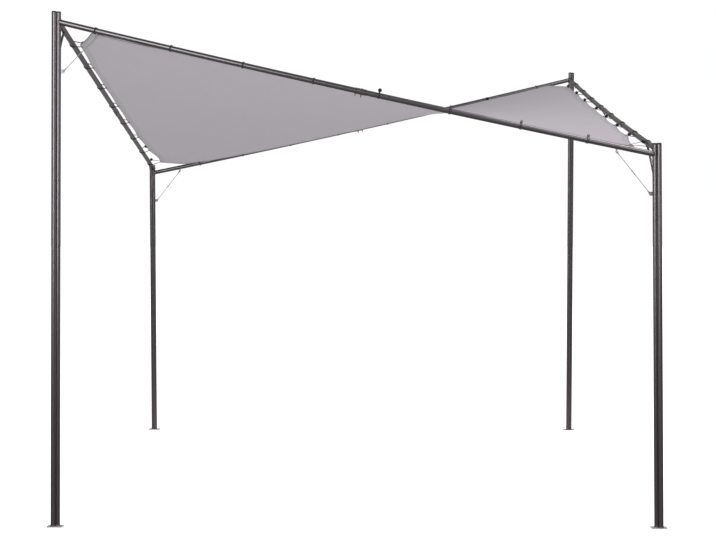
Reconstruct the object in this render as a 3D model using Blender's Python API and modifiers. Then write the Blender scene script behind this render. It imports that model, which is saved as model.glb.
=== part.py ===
# Shade sail pergola: four leaning posts of paired tubes, four sloping round beams
# and one taut saddle-shaped sail, laced to the beams with elastic loops.
# Metres, +Z up, origin on the ground at the middle of the plan. The front is at -Y.
# Tall posts stand front left and back right, short posts front right and back left.

import math

import bmesh
import bpy
import numpy as np
from mathutils import Matrix, Vector

# Plan and heights
HALF_SPAN = 1.5          # post pair to the middle of the plan, at half height
LEAN_X = 0.005           # each foot stands this far out, each top leans this far in
LEAN_Y = 0.040
TALL_HEIGHT = 2.570      # ground to the top of the caps
SHORT_HEIGHT = 1.915

# Posts
TUBE_RADIUS = 0.0125
PAIR_PITCH = 0.0253      # between the axes of a post's two tubes, along the plan's diagonal
FOOT_WIDTH = 0.080
FOOT_DEPTH = 0.050
FOOT_THICKNESS = 0.004
CAP_HEIGHT = 0.008
CAP_ROUNDING = 0.6       # share of the cap's height that is rounded off
CAP_WEB_WIDTH = 0.0075   # low bridge between a pair's two caps
CAP_WEB_HEIGHT = 0.0028

# Beams
BEAM_RADIUS = 0.014
BEAM_DROP_TALL = 0.052   # beam axis under the post's top
LONG_DROP_SHORT = 0.056  # the same for a front or back beam at a short post
SIDE_DROP_SHORT = 0.026
BEAM_BOW = 0.006         # the sail pulls each beam in and down by this at mid-span
BEAM_SAG = 0.013
JOINT_SHARE = 0.5085     # where a beam's two halves meet
BEAM_HALF_POINTS = 7
COLLAR_RADIUS = 0.012
COLLAR_SHARE = 0.012     # length of the raw collar, as a share of the beam
COLLAR_REACH = 0.0157    # welded collar on the inner tube, measured from the tube's axis
COLLAR_ROOM = 0.120      # height of the upright box that trims collar and beam ends
SLEEVE_RADIUS = 0.0156
SLEEVE_LENGTH = 0.055

# Corner braces under the side beams, and wire stays under the front and back beams
BRACE_RADIUS = 0.006
BRACE_ALONG_TALL = 0.125
BRACE_ALONG_SHORT = 0.200
BRACE_DOWN = 0.172
BRACE_BEND = 0.18        # how far the brace bows towards the corner
BRACE_STEPS = 8
STAY_RADIUS = 0.0015
STAY_ALONG = 0.190
STAY_RISE_TALL = 0.201   # post lug under the beam axis above the beam lug
STAY_RISE_SHORT = 0.236
LUG_RADIUS = 0.0035
LUG_LENGTH = 0.012
KNOT_RADIUS = 0.0035
KNOT_LENGTH = 0.022

# Sail and its lacing
SAIL_THICKNESS = 0.003
SAIL_INSET = 0.036       # beam axis to the sail's edge
SAIL_DROP = 0.002        # sail's edge under the beam axis
SAIL_TWIST = 0.021       # further down at the tall end, and up at the short end
CHAMFER_TALL_FRONT = 0.155   # where the cut corner meets the edges, from the post's axis
CHAMFER_TALL_SIDE = 0.275
CHAMFER_SHORT_FRONT = 0.325  # at a short post the sail runs to a tip
TIP_SIDE = 0.150             # tip to the post, along the side beam
TIP_INSET = 0.030            # tip further in from the side beam than the edge is
TIP_START = 0.503            # where the side edge starts to draw in
CORNER_BLEND = 6         # how fast the edges' heights meet at a corner
SAIL_CELLS = 20
ROPE_RADIUS = 0.003
LOOPS = 8
LOOP_STEP = 0.352
FIRST_LOOP_FRONT = 0.172     # from the tall post's axis to the first loop
FIRST_LOOP_SIDE = 0.290
BAND_RADIUS = 0.0165
BAND_WIDTH = 0.010
LINK_RADIUS = 0.0025
BALL_RADIUS = 0.010
BALL_DISTANCE = 0.0255   # beam axis to the centre of a ball that stands on its beam
BALL_BACK = 0.002        # the others sit on the edge rope, this far towards the beam
BALL_RISE = 0.0115

CLEARANCE = 0.0003
ROUND_SIDES = 16

# Corners: side signs in x and y, and whether the post is tall
CORNERS = {
    "front_left": (-1, -1, True),
    "front_right": (1, -1, False),
    "back_left": (-1, 1, False),
    "back_right": (1, 1, True),
}

# Edges: tall corner, short corner, direction towards the sail, and which loops, counted
# from the tall post, have their toggle ball standing on the beam
EDGES = {
    "front": ("front_left", "front_right", (0, 1, 0), (4,)),
    "back": ("back_right", "back_left", (0, -1, 0), ()),
    "left": ("front_left", "back_left", (1, 0, 0), ()),
    "right": ("back_right", "front_right", (-1, 0, 0), ()),
}


def clear_scene():
    for item in list(bpy.data.objects):
        bpy.data.objects.remove(item)


def new_collection(name):
    collection = bpy.data.collections.new(name)
    bpy.context.scene.collection.children.link(collection)
    return collection


def paint(name, color, roughness, metallic):
    material = bpy.data.materials.new(name)
    material.use_nodes = True
    shader = material.node_tree.nodes["Principled BSDF"]
    shader.inputs["Base Color"].default_value = (*color, 1.0)
    shader.inputs["Roughness"].default_value = roughness
    shader.inputs["Metallic"].default_value = metallic
    return material


def make_materials():
    return {
        "frame": paint("frame_paint", (0.045, 0.042, 0.044), 0.38, 0.55),
        "plate": paint("plate_zinc", (0.42, 0.42, 0.43), 0.45, 0.9),
        "cap": paint("cap_plastic", (0.03, 0.03, 0.03), 0.5, 0.0),
        "wire": paint("stay_wire", (0.45, 0.45, 0.45), 0.35, 1.0),
        "sail": paint("sail_cloth", (0.40, 0.385, 0.40), 0.9, 0.0),
        "cord": paint("lacing_cord", (0.05, 0.05, 0.05), 0.8, 0.0),
    }


def add_part(name, mesh, material, collection):
    part = bpy.data.objects.new(name, mesh)
    mesh.materials.clear()
    mesh.materials.append(material)
    collection.objects.link(part)
    return part


def add_tool(name, mesh, tools):
    tool = bpy.data.objects.new(name, mesh)
    tools.objects.link(tool)
    tool.hide_render = True
    tool.display_type = "WIRE"
    return tool


def combine(part, operation, tool):
    change = part.modifiers.new(operation.lower() + "_" + tool.name, "BOOLEAN")
    change.operation = operation
    change.object = tool


def smooth(mesh):
    mesh.shade_smooth()
    mesh.set_sharp_from_angle(angle=math.radians(35))


# Mesh makers

def rod_mesh(name, points, radius, sides=ROUND_SIDES):
    """Round bar along a list of points, closed by flat caps."""
    curve = bpy.data.curves.new(name, "CURVE")
    curve.dimensions = "3D"
    curve.twist_mode = "Z_UP"
    curve.bevel_depth = radius
    curve.bevel_resolution = (sides - 4) // 2
    curve.use_fill_caps = True
    spline = curve.splines.new("POLY")
    spline.points.add(len(points) - 1)
    for point, place in zip(spline.points, points):
        point.co = (*place, 1.0)
    guide = bpy.data.objects.new(name, curve)
    bpy.context.scene.collection.objects.link(guide)
    graph = bpy.context.evaluated_depsgraph_get()
    mesh = bpy.data.meshes.new_from_object(guide.evaluated_get(graph))
    bpy.data.objects.remove(guide)
    bpy.data.curves.remove(curve)
    shape = bmesh.new()
    shape.from_mesh(mesh)
    bmesh.ops.remove_doubles(shape, verts=shape.verts, dist=1e-6)
    bmesh.ops.recalc_face_normals(shape, faces=shape.faces)
    shape.to_mesh(mesh)
    shape.free()
    mesh.name = name
    smooth(mesh)
    return mesh


def merge_meshes(name, meshes):
    """Several closed shells in one mesh, as one boolean operand."""
    shape = bmesh.new()
    for mesh in meshes:
        shape.from_mesh(mesh)
        bpy.data.meshes.remove(mesh)
    merged = bpy.data.meshes.new(name)
    shape.to_mesh(merged)
    shape.free()
    return merged


def box_mesh(name, size, place, turn=0.0):
    shape = bmesh.new()
    bmesh.ops.create_cube(shape, size=1.0)
    frame = Matrix.Translation(place) @ Matrix.Rotation(turn, 4, "Z") @ Matrix.Diagonal((*size, 1.0))
    bmesh.ops.transform(shape, matrix=frame, verts=shape.verts)
    mesh = bpy.data.meshes.new(name)
    shape.to_mesh(mesh)
    shape.free()
    return mesh


def ball_mesh(name, radius, place):
    shape = bmesh.new()
    bmesh.ops.create_uvsphere(shape, u_segments=8, v_segments=5, radius=radius)
    bmesh.ops.translate(shape, vec=place, verts=shape.verts)
    mesh = bpy.data.meshes.new(name)
    shape.to_mesh(mesh)
    shape.free()
    return mesh


def lean_mesh(mesh, corner):
    """Shear an upright mesh, placed about the origin, onto a post's leaning line."""
    sign_x, sign_y, _ = CORNERS[corner]
    height = post_height(corner)
    shear = Matrix.Identity(4)
    shear[0][2] = -2 * sign_x * LEAN_X / height
    shear[1][2] = -2 * sign_y * LEAN_Y / height
    shear[0][3] = sign_x * (HALF_SPAN + LEAN_X)
    shear[1][3] = sign_y * (HALF_SPAN + LEAN_Y)
    mesh.transform(shear)
    return mesh


# Where things are

def post_height(corner):
    return TALL_HEIGHT if CORNERS[corner][2] else SHORT_HEIGHT


def pair_offset(corner, outward):
    """Plan offset of the outer (+1) or inner (-1) tube from the pair's centre."""
    sign_x, sign_y, _ = CORNERS[corner]
    step = outward * PAIR_PITCH / 2 / math.sqrt(2)
    return Vector((sign_x * step, sign_y * step, 0.0))


def pair_axis(corner, height):
    sign_x, sign_y, _ = CORNERS[corner]
    share = 1 - 2 * height / post_height(corner)
    return Vector((sign_x * (HALF_SPAN + LEAN_X * share), sign_y * (HALF_SPAN + LEAN_Y * share), height))


def inner_axis(corner, height):
    return pair_axis(corner, height) + pair_offset(corner, -1)


def is_side(edge):
    return edge in ("left", "right")


def beam_end(edge, corner):
    drop = SIDE_DROP_SHORT if is_side(edge) else LONG_DROP_SHORT
    if CORNERS[corner][2]:
        drop = BEAM_DROP_TALL
    return inner_axis(corner, post_height(corner) - drop)


def beam_length(edge):
    tall, short, _, _ = EDGES[edge]
    step = beam_end(edge, short) - beam_end(edge, tall)
    return step.xy.length


def beam_point(edge, share):
    """Point on a beam's axis, share 0 at the tall post and 1 at the short one."""
    tall, short, inward, _ = EDGES[edge]
    start = beam_end(edge, tall)
    end = beam_end(edge, short)
    bend = 4 * share * (1 - share)
    return start.lerp(end, share) + Vector(inward) * BEAM_BOW * bend - Vector((0, 0, BEAM_SAG * bend))


def beam_points(edge, first, last, count):
    return [beam_point(edge, first + (last - first) * i / (count - 1)) for i in range(count)]


def beam_direction(edge, share):
    return (beam_point(edge, share + 0.001) - beam_point(edge, share - 0.001)).normalized()


def sail_corner(corner):
    """Where the sail's two edges would meet, were the corner not cut off."""
    total = Vector((0, 0, 0))
    sign_x, sign_y, _ = CORNERS[corner]
    for edge in EDGES:
        if corner in EDGES[edge][:2]:
            total += beam_end(edge, corner)
    rise = SAIL_INSET * (TALL_HEIGHT - SHORT_HEIGHT) / (2 * HALF_SPAN) + SAIL_TWIST
    place = total / 2 - Vector((sign_x * SAIL_INSET, sign_y * SAIL_INSET, SAIL_DROP))
    place.z += -rise if CORNERS[corner][2] else rise
    return place


def tip_draw(edge, share):
    """How far a side edge is drawn in on its way to the tip at the short post."""
    if not is_side(edge):
        return 0.0
    start = edge_share(edge, beam_length(edge) - TIP_START)
    tip = tip_share(edge)
    ramp = min(max((share - start) / (tip - start), 0.0), 1.0)
    fade = min((1 - share) / (1 - tip), 1.0)
    return TIP_INSET * ramp * ramp * fade


def tip_share(edge):
    return edge_share(edge, beam_length(edge) - TIP_SIDE)


def sail_edge(edge, share):
    """Point on the sail's edge, share 0 at the tall corner and 1 at the short one."""
    tall, short, inward, _ = EDGES[edge]
    trim = SAIL_INSET / beam_length(edge)

    def plain(value):
        rise = SAIL_TWIST * (2 * value - 1) - SAIL_DROP
        inset = Vector(inward) * (SAIL_INSET + tip_draw(edge, value))
        return beam_point(edge, trim + (1 - 2 * trim) * value) + inset + Vector((0, 0, rise))

    near_tall = (1 - share) ** CORNER_BLEND
    near_short = share ** CORNER_BLEND
    fix_tall = (sail_corner(tall) - plain(0.0)) * near_tall
    fix_short = (sail_corner(short) - plain(1.0)) * near_short
    return plain(share) + fix_tall + fix_short


def sail_steps():
    """Shares at which the sail's grid lines lie, with one at each tip."""
    tip = tip_share("left")
    inner = [1 - tip + (2 * tip - 1) * i / (SAIL_CELLS - 2) for i in range(SAIL_CELLS - 1)]
    return [0.0] + inner + [1.0]


def sail_rim(edge, share):
    """Point on the sail's rim as it is meshed, straight from grid line to grid line."""
    steps = sail_steps()
    for low, high in zip(steps, steps[1:]):
        if share <= high:
            break
    return sail_edge(edge, low).lerp(sail_edge(edge, high), (share - low) / (high - low))


def edge_share(edge, distance):
    """Share along the sail's edge at a distance from the tall post's axis."""
    return (distance - SAIL_INSET) / (beam_length(edge) - 2 * SAIL_INSET)


def loop_distances(edge):
    first = FIRST_LOOP_SIDE if is_side(edge) else FIRST_LOOP_FRONT
    return [first + LOOP_STEP * i for i in range(LOOPS)]


def chamfer(corner):
    """Plan points where a cut corner meets the front or back edge, and the side edge."""
    sign_x, sign_y, tall = CORNERS[corner]
    along_x = CHAMFER_TALL_FRONT if tall else CHAMFER_SHORT_FRONT
    along_y = CHAMFER_TALL_SIDE if tall else TIP_SIDE
    inset = SAIL_INSET if tall else SAIL_INSET + TIP_INSET
    post = inner_axis(corner, post_height(corner) - BEAM_DROP_TALL)
    on_long = Vector((post.x - sign_x * along_x, post.y - sign_y * SAIL_INSET, 0.0))
    on_side = Vector((post.x - sign_x * inset, post.y - sign_y * along_y, 0.0))
    return on_long, on_side


# Posts

def tube_mesh(name, radius, corner, outward, bottom, top):
    offset = pair_offset(corner, outward)
    points = [offset + Vector((0, 0, bottom)), offset + Vector((0, 0, top))]
    return lean_mesh(rod_mesh(name, points, radius), corner)


def make_post(corner, materials, parts, tools):
    bottom = FOOT_THICKNESS + CLEARANCE
    top = post_height(corner) - CAP_HEIGHT - CLEARANCE
    outer = tube_mesh("post_tube", TUBE_RADIUS, corner, 1, bottom, top)
    add_part("post_" + corner + "_outer_tube", outer, materials["frame"], parts)
    inner = tube_mesh("post_tube", TUBE_RADIUS, corner, -1, bottom, top)
    post = add_part("post_" + corner + "_inner_tube", inner, materials["frame"], parts)
    for edge in EDGES:
        if corner in EDGES[edge][:2]:
            combine(post, "UNION", make_collar(edge, corner, tools))


def make_collar(edge, corner, tools):
    """Short round collar on the inner tube, which the beam's end butts against."""
    first, last = (0.0, COLLAR_SHARE) if CORNERS[corner][2] else (1.0, 1 - COLLAR_SHARE)
    mesh = rod_mesh("collar", beam_points(edge, first, last, 2), COLLAR_RADIUS)
    collar = add_tool("collar_" + edge + "_" + corner, mesh, tools)
    reach = keep_out("collar_reach_" + edge + "_" + corner, edge, corner, COLLAR_REACH, tools)
    combine(collar, "INTERSECT", reach)
    return collar


def keep_out(name, edge, corner, half_size, tools):
    """Upright box around the inner tube, level with one beam's end."""
    place = beam_end(edge, corner)
    size = (2 * half_size, 2 * half_size, COLLAR_ROOM)
    return add_tool(name, box_mesh(name, size, place), tools)


def make_foot(corner, materials, parts):
    place = pair_axis(corner, 0.0) + Vector((0, 0, FOOT_THICKNESS / 2))
    mesh = box_mesh("foot_plate", (FOOT_WIDTH, FOOT_DEPTH, FOOT_THICKNESS), place)
    add_part("foot_plate_" + corner, mesh, materials["plate"], parts)


def dome_mesh(place):
    """Low round plug: a flat-bottomed disc whose top edge is rounded off."""
    shape = bmesh.new()
    bmesh.ops.create_cone(shape, cap_ends=True, segments=ROUND_SIDES, radius1=TUBE_RADIUS,
                          radius2=TUBE_RADIUS, depth=CAP_HEIGHT)
    rim = [edge for edge in shape.edges if all(vert.co.z > 0 for vert in edge.verts)]
    bmesh.ops.bevel(shape, geom=rim, offset=CAP_HEIGHT * CAP_ROUNDING, segments=3, profile=0.5,
                    affect="EDGES")
    bmesh.ops.translate(shape, vec=place + Vector((0, 0, CAP_HEIGHT / 2)), verts=shape.verts)
    mesh = bpy.data.meshes.new("dome")
    shape.to_mesh(mesh)
    shape.free()
    return mesh


def make_cap(corner, materials, parts, tools):
    sign_x, sign_y, _ = CORNERS[corner]
    centre = pair_axis(corner, post_height(corner) - CAP_HEIGHT)
    outer = dome_mesh(centre + pair_offset(corner, 1))
    cap = add_part("post_cap_" + corner, outer, materials["cap"], parts)
    smooth(outer)
    inner = add_tool("cap_inner_" + corner, dome_mesh(centre + pair_offset(corner, -1)), tools)
    combine(cap, "UNION", inner)
    turn = math.radians(45 * sign_x * sign_y)
    web_size = (PAIR_PITCH / 2, CAP_WEB_WIDTH, CAP_WEB_HEIGHT)
    web_place = centre + Vector((0, 0, web_size[2] / 2))
    web = add_tool("cap_web_" + corner, box_mesh("cap_web", web_size, web_place, turn), tools)
    combine(cap, "UNION", web)


# Beams

def make_beam(edge, materials, parts, tools):
    tall, short, _, _ = EDGES[edge]
    half_gap = CLEARANCE / 2 / beam_length(edge)
    halves = {"high": (0.0, JOINT_SHARE - half_gap, tall), "low": (1.0, JOINT_SHARE + half_gap, short)}
    for half, (first, last, corner) in halves.items():
        mesh = rod_mesh("beam_tube", beam_points(edge, first, last, BEAM_HALF_POINTS), BEAM_RADIUS)
        beam = add_part("beam_" + edge + "_" + half, mesh, materials["frame"], parts)
        name = "beam_end_" + edge + "_" + corner
        combine(beam, "DIFFERENCE", keep_out(name, edge, corner, COLLAR_REACH + CLEARANCE, tools))


def make_sleeve(edge, beam_space, materials, parts):
    half_share = SLEEVE_LENGTH / 2 / beam_length(edge)
    points = beam_points(edge, JOINT_SHARE - half_share, JOINT_SHARE + half_share, 2)
    mesh = rod_mesh("beam_sleeve", points, SLEEVE_RADIUS)
    sleeve = add_part("beam_sleeve_" + edge, mesh, materials["frame"], parts)
    combine(sleeve, "DIFFERENCE", beam_space)


def make_beam_space(edge, tools):
    """The room that a beam takes, with its clearance, for whatever sits on it."""
    points = beam_points(edge, 0.0, 1.0, 2 * BEAM_HALF_POINTS - 1)
    mesh = rod_mesh("beam_space", points, BEAM_RADIUS + CLEARANCE)
    return add_tool("beam_space_" + edge, mesh, tools)


def make_post_space(corner, tools):
    top = post_height(corner)
    mesh = tube_mesh("post_space", TUBE_RADIUS + CLEARANCE, corner, -1, 0.0, top)
    return add_tool("post_space_" + corner, mesh, tools)


# Corner braces and stays

def from_tall(edge, corner, distance):
    """Share along a beam at a distance from the post at the given corner."""
    share = distance / beam_length(edge)
    return share if CORNERS[corner][2] else 1 - share


def make_brace(edge, corner, post_space, beam_space, materials, parts):
    """Bent rod in the side frame, from the beam's underside to the post."""
    along = BRACE_ALONG_TALL if CORNERS[corner][2] else BRACE_ALONG_SHORT
    beam_place = beam_point(edge, from_tall(edge, corner, along))
    post_place = inner_axis(corner, beam_end(edge, corner).z - BRACE_DOWN)
    knee = post_place.lerp(beam_place, 0.5)
    knee += (beam_end(edge, corner) - knee) * BRACE_BEND
    points = []
    for i in range(BRACE_STEPS + 1):
        share = i / BRACE_STEPS
        low = post_place.lerp(knee, share)
        high = knee.lerp(beam_place, share)
        points.append(low.lerp(high, share))
    mesh = rod_mesh("brace", points, BRACE_RADIUS, 10)
    brace = add_part("brace_" + corner, mesh, materials["frame"], parts)
    combine(brace, "DIFFERENCE", post_space)
    combine(brace, "DIFFERENCE", beam_space)


def make_stay(edge, corner, post_space, beam_space, materials, parts, tools):
    """Wire between a lug under the beam and a lug on the post, with a tightener."""
    beam_place = beam_point(edge, from_tall(edge, corner, STAY_ALONG))
    rise = STAY_RISE_TALL if CORNERS[corner][2] else STAY_RISE_SHORT
    post_place = inner_axis(corner, beam_place.z - rise)
    sign_x = CORNERS[corner][0]
    upper = beam_place - Vector((0, 0, BEAM_RADIUS + LUG_LENGTH))
    lower = post_place - Vector((sign_x * (TUBE_RADIUS + LUG_LENGTH), 0, 0))
    run = (lower - upper).normalized()
    middle = upper.lerp(lower, 0.5)
    reach = run * LUG_RADIUS / 2
    mesh = rod_mesh("stay_wire", [upper - reach, lower + reach], STAY_RADIUS, 8)
    stay = add_part("stay_" + corner, mesh, materials["wire"], parts)
    pieces = {
        "beam_lug": ([beam_place, upper - Vector((0, 0, LUG_RADIUS))], LUG_RADIUS),
        "post_lug": ([post_place, lower - Vector((sign_x * LUG_RADIUS, 0, 0))], LUG_RADIUS),
        "knot": ([middle - run * KNOT_LENGTH / 2, middle + run * KNOT_LENGTH / 2], KNOT_RADIUS),
    }
    for name, (points, radius) in pieces.items():
        tool = add_tool(name + "_" + corner, rod_mesh(name, points, radius, 8), tools)
        combine(stay, "UNION", tool)
    combine(stay, "DIFFERENCE", beam_space)
    combine(stay, "DIFFERENCE", post_space)


# Sail and lacing

def sail_surface():
    """Grid of points blended between the four edges: a Coons patch."""
    steps = sail_steps()
    front = np.array([sail_edge("front", s) for s in steps])
    left = np.array([sail_edge("left", s) for s in steps])
    back = np.array([sail_edge("back", s) for s in steps[::-1]])
    right = np.array([sail_edge("right", s) for s in steps[::-1]])
    across = np.array(steps)[:, None, None]
    along = np.array(steps)[None, :, None]
    ruled_y = (1 - along) * front[:, None, :] + along * back[:, None, :]
    ruled_x = (1 - across) * left[None, :, :] + across * right[None, :, :]
    corners = ((1 - across) * (1 - along) * front[0] + across * (1 - along) * front[-1]
               + (1 - across) * along * back[0] + across * along * back[-1])
    return ruled_y + ruled_x - corners


def make_sail(materials, parts):
    points = sail_surface()
    shape = bmesh.new()
    bmesh.ops.create_grid(shape, x_segments=SAIL_CELLS, y_segments=SAIL_CELLS, size=0.5)
    shape.verts.ensure_lookup_table()
    for vert in shape.verts:
        column = round((vert.co.x + 0.5) * SAIL_CELLS)
        row = round((vert.co.y + 0.5) * SAIL_CELLS)
        vert.co = Vector(points[column, row])
    for corner, (sign_x, sign_y, _) in CORNERS.items():
        on_long, on_side = chamfer(corner)
        normal = (on_side - on_long).cross(Vector((0, 0, 1)))
        if normal.dot(Vector((sign_x, sign_y, 0))) < 0:
            normal = -normal
        everything = list(shape.verts) + list(shape.edges) + list(shape.faces)
        bmesh.ops.bisect_plane(shape, geom=everything, dist=1e-5, plane_co=on_long,
                               plane_no=normal, clear_outer=True)
    mesh = bpy.data.meshes.new("sail")
    shape.to_mesh(mesh)
    shape.free()
    smooth(mesh)
    sail = add_part("sail", mesh, materials["sail"], parts)
    wall = sail.modifiers.new("thickness", "SOLIDIFY")
    wall.thickness = SAIL_THICKNESS
    wall.offset = 0.0


def rope_limits(edge):
    """First and last share of the edge rope, from cut corner to cut corner."""
    start = CHAMFER_TALL_SIDE if is_side(edge) else CHAMFER_TALL_FRONT
    end = beam_length(edge) - (TIP_SIDE if is_side(edge) else CHAMFER_SHORT_FRONT)
    return edge_share(edge, start), edge_share(edge, end)


def rope_point(edge, share):
    outward = -Vector(EDGES[edge][2])
    return sail_rim(edge, share) + outward * (ROPE_RADIUS + CLEARANCE)


def make_lacing(edge, beam_space, materials, parts, tools):
    """Edge rope with elastic loops round the beam, each with its link and toggle ball."""
    first, last = rope_limits(edge)
    shares = [first] + [step for step in sail_steps() if first < step < last] + [last]
    rope = rod_mesh("edge_rope", [rope_point(edge, share) for share in shares], ROPE_RADIUS, 6)
    lacing = add_part("lacing_" + edge, rope, materials["cord"], parts)
    inward = Vector(EDGES[edge][2])
    bands = []
    links = []
    balls = []
    for count, distance in enumerate(loop_distances(edge)):
        share = distance / beam_length(edge)
        axis = beam_point(edge, share)
        run = beam_direction(edge, share)
        half = run * BAND_WIDTH / 2
        bands.append(rod_mesh("band", [axis - half, axis + half], BAND_RADIUS, 12))
        eyelet = rope_point(edge, edge_share(edge, distance))
        links.append(rod_mesh("link", [axis, eyelet], LINK_RADIUS, 6))
        place = eyelet - inward * BALL_BACK + Vector((0, 0, BALL_RISE))
        if count in EDGES[edge][3]:
            place = axis + Vector((0, 0, BALL_DISTANCE))
        balls.append(ball_mesh("ball", BALL_RADIUS, place))
    for name, meshes in (("bands", bands), ("links", links), ("balls", balls)):
        tool = add_tool(name + "_" + edge, merge_meshes(name, meshes), tools)
        combine(lacing, "UNION", tool)
    combine(lacing, "DIFFERENCE", beam_space)


def main():
    clear_scene()
    parts = new_collection("shade_sail_pergola")
    tools = new_collection("cutters")
    materials = make_materials()
    post_spaces = {corner: make_post_space(corner, tools) for corner in CORNERS}
    beam_spaces = {edge: make_beam_space(edge, tools) for edge in EDGES}
    for corner in CORNERS:
        make_foot(corner, materials, parts)
        make_post(corner, materials, parts, tools)
        make_cap(corner, materials, parts, tools)
    for edge in EDGES:
        make_beam(edge, materials, parts, tools)
        make_sleeve(edge, beam_spaces[edge], materials, parts)
    for edge, (tall, short, _, _) in EDGES.items():
        for corner in (tall, short):
            if is_side(edge):
                make_brace(edge, corner, post_spaces[corner], beam_spaces[edge], materials, parts)
            else:
                make_stay(edge, corner, post_spaces[corner], beam_spaces[edge], materials, parts, tools)
    make_sail(materials, parts)
    for edge in EDGES:
        make_lacing(edge, beam_spaces[edge], materials, parts, tools)


main()
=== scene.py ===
# Shade sail pergola: smooth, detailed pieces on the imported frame, and a plain studio round it.
# Metres, +Z up. The front looks towards -Y, tall posts stand front left and back right.
import math

import bpy
import numpy as np
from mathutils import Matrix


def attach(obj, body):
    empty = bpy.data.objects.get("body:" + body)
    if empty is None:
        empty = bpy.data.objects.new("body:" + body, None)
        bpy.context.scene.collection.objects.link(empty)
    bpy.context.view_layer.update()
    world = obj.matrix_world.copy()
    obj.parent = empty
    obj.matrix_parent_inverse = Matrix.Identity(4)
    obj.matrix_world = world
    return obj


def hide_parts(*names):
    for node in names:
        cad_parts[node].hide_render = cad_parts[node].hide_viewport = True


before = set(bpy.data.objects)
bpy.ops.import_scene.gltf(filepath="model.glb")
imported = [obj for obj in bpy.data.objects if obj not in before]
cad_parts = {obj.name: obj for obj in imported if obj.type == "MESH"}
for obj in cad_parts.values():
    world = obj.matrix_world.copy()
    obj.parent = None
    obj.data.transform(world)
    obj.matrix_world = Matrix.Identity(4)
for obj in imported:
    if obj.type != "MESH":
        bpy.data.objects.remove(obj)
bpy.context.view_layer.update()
print("frame loaded,", len(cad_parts), "nodes")


def unit(vectors):
    # every vector divided by its own length
    return vectors / np.linalg.norm(vectors, axis=-1, keepdims=True)


def circle(radius, sides, start=0.0):
    # radius * (cos, sin) at equally spaced angles
    angle = start + np.arange(sides) * 2 * math.pi / sides
    return radius * np.stack([np.cos(angle), np.sin(angle)], -1)


def sweep(path, ring, side, closed=False):
    # profile carried along a path: path point + across * ring x + up * ring y, where across is
    # square to the path and to the side vector, and up is square to both
    path = np.asarray(path, float)
    step = np.roll(path, -1, 0) - np.roll(path, 1, 0) if closed else np.gradient(path, axis=0)
    along = unit(step)
    across = unit(np.cross(along, np.asarray(side, float)))
    up = np.cross(across, along)
    ring = np.broadcast_to(ring, (len(path),) + np.shape(ring)[-2:])
    return path[:, None] + across[:, None] * ring[..., :1] + up[:, None] * ring[..., 1:]


def lathe(profile, base, axis, sides=24):
    # surface of revolution: base + axis * height + radius * (cos, sin) in the plane square to it
    axis = unit(np.asarray(axis, float))
    helper = np.array([0.0, 1.0, 0.0]) if abs(axis[1]) < 0.8 else np.array([1.0, 0.0, 0.0])
    across = unit(np.cross(axis, helper))
    up = np.cross(axis, across)
    profile = np.asarray(profile, float)
    spokes = circle(1.0, sides) @ np.stack([across, up])
    return np.asarray(base, float) + profile[:, None, 1:] * axis + profile[:, None, :1] * spokes


def shell(points, wrapRows=False, wrapColumns=True, caps=(True, True), uv=None, finish=0):
    # closed skin over a grid of points: a square for every cell, and a fan to a middle point
    # over each open end
    rows, columns = points.shape[:2]
    index = np.arange(rows * columns).reshape(rows, columns)
    if wrapRows:
        index = np.concatenate([index, index[:1]], 0)
    if wrapColumns:
        index = np.concatenate([index, index[:, :1]], 1)
    if uv is None:
        uv = np.zeros(index.shape + (2,))

    def cells(grid):
        return np.stack([grid[:-1, :-1], grid[:-1, 1:], grid[1:, 1:], grid[1:, :-1]], 2)

    verts = [points.reshape(-1, 3)]
    quads = cells(index).reshape(-1, 4)
    fans, fanUv = [], []
    ends = [] if wrapRows else [(0, caps[0]), (-1, caps[1])]
    for row, cap in ends:
        if cap is None:
            continue
        middle = points[row].mean(0) if cap is True else np.asarray(cap, float)
        hub = sum(len(v) for v in verts)
        verts.append(middle[None])
        first, second = index[row, :-1], index[row, 1:]
        firstUv, secondUv = uv[row, :-1], uv[row, 1:]
        if row == 0:
            first, second, firstUv, secondUv = second, first, secondUv, firstUv
        fans.append(np.stack([np.full(len(first), hub), first, second], -1))
        fanUv.append(np.stack([(firstUv + secondUv) / 2, firstUv, secondUv], 1))
    return {
        "verts": np.concatenate(verts),
        "quads": quads,
        "quadUv": cells(uv).reshape(-1, 4, 2),
        "fans": np.concatenate(fans) if fans else np.zeros((0, 3), int),
        "fanUv": np.concatenate(fanUv) if fanUv else np.zeros((0, 3, 2)),
        "finish": finish,
    }


def facingOut(part):
    # turns a skin round where its signed volume, a sixth of the sum of a . (b x c), is negative
    quads, fans, verts = part["quads"], part["fans"], part["verts"]
    triangles = np.concatenate([quads[:, [0, 1, 2]], quads[:, [0, 2, 3]], fans])
    a, b, c = (verts[triangles[:, k]] - verts.mean(0) for k in range(3))
    if np.einsum("ij,ij->", a, np.cross(b, c)) >= 0:
        return part
    return dict(part, quads=quads[:, ::-1], quadUv=part["quadUv"][:, ::-1],
                fans=fans[:, ::-1], fanUv=part["fanUv"][:, ::-1])


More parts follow.
